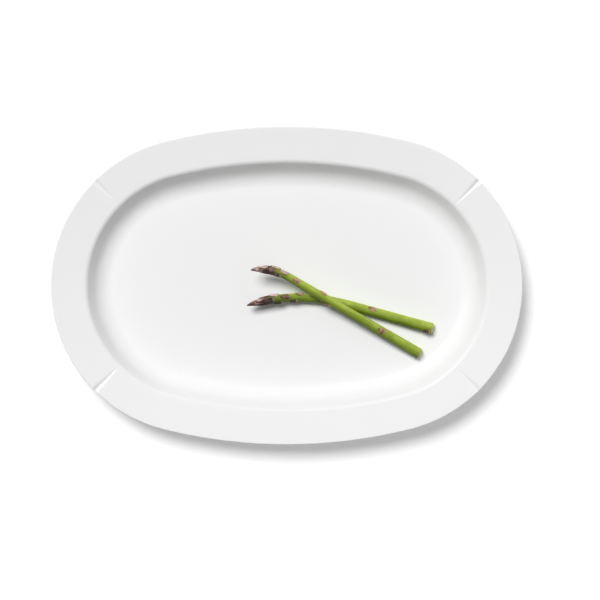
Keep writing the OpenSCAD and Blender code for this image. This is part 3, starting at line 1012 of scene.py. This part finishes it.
class ASPARAGUSPLATE_OT_stalks(bpy.types.Operator):
    """Models the two stalks, each with its cut end"""

    bl_idname = "asparagus_plate.stalks"
    bl_label = "Stalks"

    def execute(self, context):
        scene = context.scene
        flesh = flesh_material(scene.plate_finishes)
        for name, body, spear in spears(scene):
            piece = model_stalk(name + "_stalk_skin", spear, scene.leaf_sizes.slant)
            indices = [face.material_index for face in piece.data.polygons]
            # Each stalk gets painted light or painted shade along it
            skin = stalk_material(name, scene.plate_finishes, ALONG_LIGHT_AND_SHADE[name])
            hand_over(piece, name + "_stalk", body, [skin, flesh])
            piece.data.polygons.foreach_set("material_index", indices)
        return {"FINISHED"}


class ASPARAGUSPLATE_OT_buds(bpy.types.Operator):
    """Models the bud at the heart of each head"""

    bl_idname = "asparagus_plate.buds"
    bl_label = "Buds"

    def execute(self, context):
        scene = context.scene
        for name, body, spear in spears(scene):
            piece = model_bud(name + "_bud_heart", spear)
            # Each bud gets the painted light or painted shade of its stalk
            material = bud_material(name, scene.plate_finishes, ALONG_LIGHT_AND_SHADE[name])
            hand_over(piece, name + "_bud", body, [material])
        return {"FINISHED"}


class ASPARAGUSPLATE_OT_bracts(bpy.types.Operator):
    """Models one bract and wraps its copies round each head in a spiral"""

    bl_idname = "asparagus_plate.bracts"
    bl_label = "Bracts"

    def execute(self, context):
        scene = context.scene
        looks = scene.plate_finishes
        sizes = scene.leaf_sizes
        colours = (looks.bract_pale_and_sunlit, looks.bract_rose, looks.bract_dark_and_shaded, looks.leaf_foot)
        leaf = model_leaf("bract_pattern", foot=0.55, belly=0.3, point=0.05, power=0.74)
        chance = random.Random(7)
        shades = random.Random(3)
        layer = (sizes.bract_thickness + sizes.seat) / sizes.bract_lap
        for name, body, spear in spears(scene):
            # The lower head's bracts get painted shade, darker than the upper head's
            skin = leaf_material(name + " bract skin", colours, 1.5, PAINTED_BRACT_SHADE[name])
            bracts = nodes_named(name + "_bract_")
            last = len(bracts) - 1
            start = spear.sizes.neck - spear.head * sizes.bract_start
            for i, node in enumerate(bracts):
                foot = start + spear.head * (1 - (1 - i / last) ** sizes.bract_crowding)
                length = min(sizes.bract_length, (spear.sizes.length - foot) * sizes.bract_reach)
                length *= chance.uniform(0.94, 1.0)
                angle = spear.sizes.first_bract + GOLDEN_TURN * i
                # Bracts on top of the upper head, the highest point, lie flat
                room = 1 - max(0.0, math.sin(angle)) if name == "upper" else 1.0
                # The lowest bracts are narrower and lie closer
                wide = sizes.bract_low + (1 - sizes.bract_low) * min(1.0, i / 5)
                hug = min(1.0, 0.4 + 0.1 * i)
                half = sizes.bract_half * wide * chance.uniform(0.9, 1.0)
                lean = math.radians(chance.uniform(-5, 5))
                bulge = BRACT_BULGE * chance.uniform(0.6, 1.3) * room
                lift = BRACT_LIFT * chance.uniform(0.2, 1.0) * room * min(1.0, i / 6)
                tone = shades.uniform(-0.4, 0.35)
                look = (half, sizes.bract_thickness, bulge, lean, lift, tone)

                def stand(s):
                    up = min(1.0, max(0.0, (s - start) / spear.head))
                    under = last * (1 - (1 - up) ** (1 / sizes.bract_crowding)) - i
                    return sizes.seat + layer * under * hug

                piece = wrap_leaf(leaf, node + "_leaf", spear, (foot, angle, length), look, stand)
                hand_over(piece, node, body, [skin])
        bpy.data.objects.remove(leaf)
        return {"FINISHED"}


class ASPARAGUSPLATE_OT_scales(bpy.types.Operator):
    """Models one scale leaf and wraps its copies on the stalks"""

    bl_idname = "asparagus_plate.scales"
    bl_label = "Scale leaves"

    def execute(self, context):
        scene = context.scene
        looks = scene.plate_finishes
        sizes = scene.leaf_sizes
        colours = (looks.scale_pink_and_sunlit, looks.scale_brown, looks.bract_dark_and_shaded, looks.leaf_foot)
        # Scale leaves get painted light on the sunny side and painted shade on their edges and other
        # side
        material = leaf_material("scale leaf skin", colours, 1.0, 0.35)
        leaf = model_leaf("scale_pattern", foot=0.75, belly=0.2, point=0.04, power=0.9)
        # Share along the stalk, degrees round it and tone
        places = {
            "lower": ((0.012, 38, -0.5), (0.325, 124, -0.1), (0.717, 146, -0.45), (0.748, 34, -0.4)),
            "upper": ((0.223, 98, -0.3), (0.543, 18, -0.15), (0.587, 148, 0.0), (0.744, 97, 0.1)),
        }
        for name, body, spear in spears(scene):
            nodes = nodes_named(name + "_scale_")
            if len(nodes) != len(places[name]):
                raise RuntimeError("the frame has another number of scale leaves")
            for node, (along, angle, tone) in zip(nodes, places[name]):
                place = (spear.sizes.length * along, math.radians(angle), sizes.scale_length)
                look = (sizes.scale_half, sizes.scale_thickness, SCALE_BULGE, 0.0, 0.0, tone)
                piece = wrap_leaf(leaf, node + "_leaf", spear, place, look, lambda s: sizes.seat)
                hand_over(piece, node, body, [material])
        bpy.data.objects.remove(leaf)
        return {"FINISHED"}


def add_sun(scene, name, strength, spread, turned):
    """Sun lamp of a strength, with the degrees that it takes up in the sky."""
    light = bpy.data.lights.new(name, "SUN")
    light.energy = strength
    light.angle = math.radians(spread)
    lamp = bpy.data.objects.new(name, light)
    lamp.rotation_euler = turned
    scene.collection.objects.link(lamp)


class ASPARAGUSPLATE_OT_stage(bpy.types.Operator):
    """Sets up the floor, the camera over the plate and soft studio light"""

    bl_idname = "asparagus_plate.stage"
    bl_label = "Stage"

    def execute(self, context):
        scene = context.scene
        clear_selection()
        bpy.ops.mesh.primitive_plane_add(size=6, location=(0, 0, 0))
        floor = context.object
        floor.name = "studio_floor"
        material, tree = new_material("studio floor")
        shader = tree.nodes["Principled BSDF"]
        tree.put(FLOOR_WHITE, shader.inputs["Base Color"])
        tree.put(0.9, shader.inputs["Roughness"])
        glow = tree.add("Emission", Strength=tree.work("MULTIPLY", tree.seen_directly(), FLOOR_GLOW))
        both = tree.add("AddShader")
        tree.fill(both.inputs, shader.outputs["BSDF"], glow.outputs["Emission"])
        tree.put(both.outputs["Shader"], tree.nodes["Material Output"].inputs["Surface"])
        floor.data.materials.append(material)

        camera = bpy.data.cameras.new("camera")
        camera.sensor_width = 36
        camera.lens = 132.6
        camera.clip_end = 20
        eye = bpy.data.objects.new("camera", camera)
        eye.location = CAMERA_PLACE
        scene.collection.objects.link(eye)
        scene.camera = eye

        add_sun(scene, "key", 2.77, 26, KEY_FROM.to_track_quat("Z", "Y").to_euler())
        add_sun(scene, "fill", 0.44, 100, (0.0, math.radians(40), 0.0))

        world = bpy.data.worlds.new("studio")
        world.use_nodes = True
        scene.world = world
        tree = Tree(world.node_tree)
        level = tree.add("MapRange", Value=tree.seen_directly(), To_Min=SKY_LIGHT, To_Max=1.0)
        sky = tree.nodes["Background"]
        tree.put((1.0, 1.0, 1.0), sky.inputs["Color"])
        tree.put(level.outputs["Result"], sky.inputs["Strength"])
        scene.view_settings.view_transform = "Standard"
        return {"FINISHED"}


class ASPARAGUSPLATE_PT_sidebar(bpy.types.Panel):
    """Lists the pieces of the asparagus plate"""

    bl_label = "Asparagus Plate"
    bl_idname = "ASPARAGUSPLATE_PT_sidebar"
    bl_space_type = "VIEW_3D"
    bl_region_type = "UI"
    bl_category = "Asparagus Plate"

    def draw(self, context):
        scene = context.scene
        for operator in OPERATORS:
            self.layout.operator(operator.bl_idname)
        for group, label in GROUPS:
            box = self.layout.box()
            box.label(text=label)
            values = getattr(scene, group)
            for key in values.bl_rna.properties.keys():
                if key not in ("rna_type", "name"):
                    box.prop(values, key)


OPERATORS = (
    ASPARAGUSPLATE_OT_stage,
    ASPARAGUSPLATE_OT_plate,
    ASPARAGUSPLATE_OT_stalks,
    ASPARAGUSPLATE_OT_buds,
    ASPARAGUSPLATE_OT_bracts,
    ASPARAGUSPLATE_OT_scales,
)
GROUPS = (
    ("plate_sizes", "Plate"),
    ("lower_spear_sizes", "Lower spear"),
    ("upper_spear_sizes", "Upper spear"),
    ("leaf_sizes", "Leaves"),
    ("plate_finishes", "Colours"),
)
SETTINGS = (PlateSizes, LowerSpearSizes, UpperSpearSizes, LeafSizes, Finishes)


def register():
    for item in SETTINGS + OPERATORS + (ASPARAGUSPLATE_PT_sidebar,):
        bpy.utils.register_class(item)
    for (group, label), kind in zip(GROUPS, SETTINGS):
        setattr(bpy.types.Scene, group, bpy.props.PointerProperty(type=kind, name=label))


def unregister():
    for group, _ in GROUPS:
        delattr(bpy.types.Scene, group)
    for item in reversed(SETTINGS + OPERATORS + (ASPARAGUSPLATE_PT_sidebar,)):
        bpy.utils.unregister_class(item)


def main():
    register()
    bpy.ops.asparagus_plate.stage()
    bpy.ops.asparagus_plate.plate()
    bpy.ops.asparagus_plate.stalks()
    bpy.ops.asparagus_plate.buds()
    bpy.ops.asparagus_plate.bracts()
    bpy.ops.asparagus_plate.scales()
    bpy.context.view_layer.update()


if __name__ == "__main__":
    main()
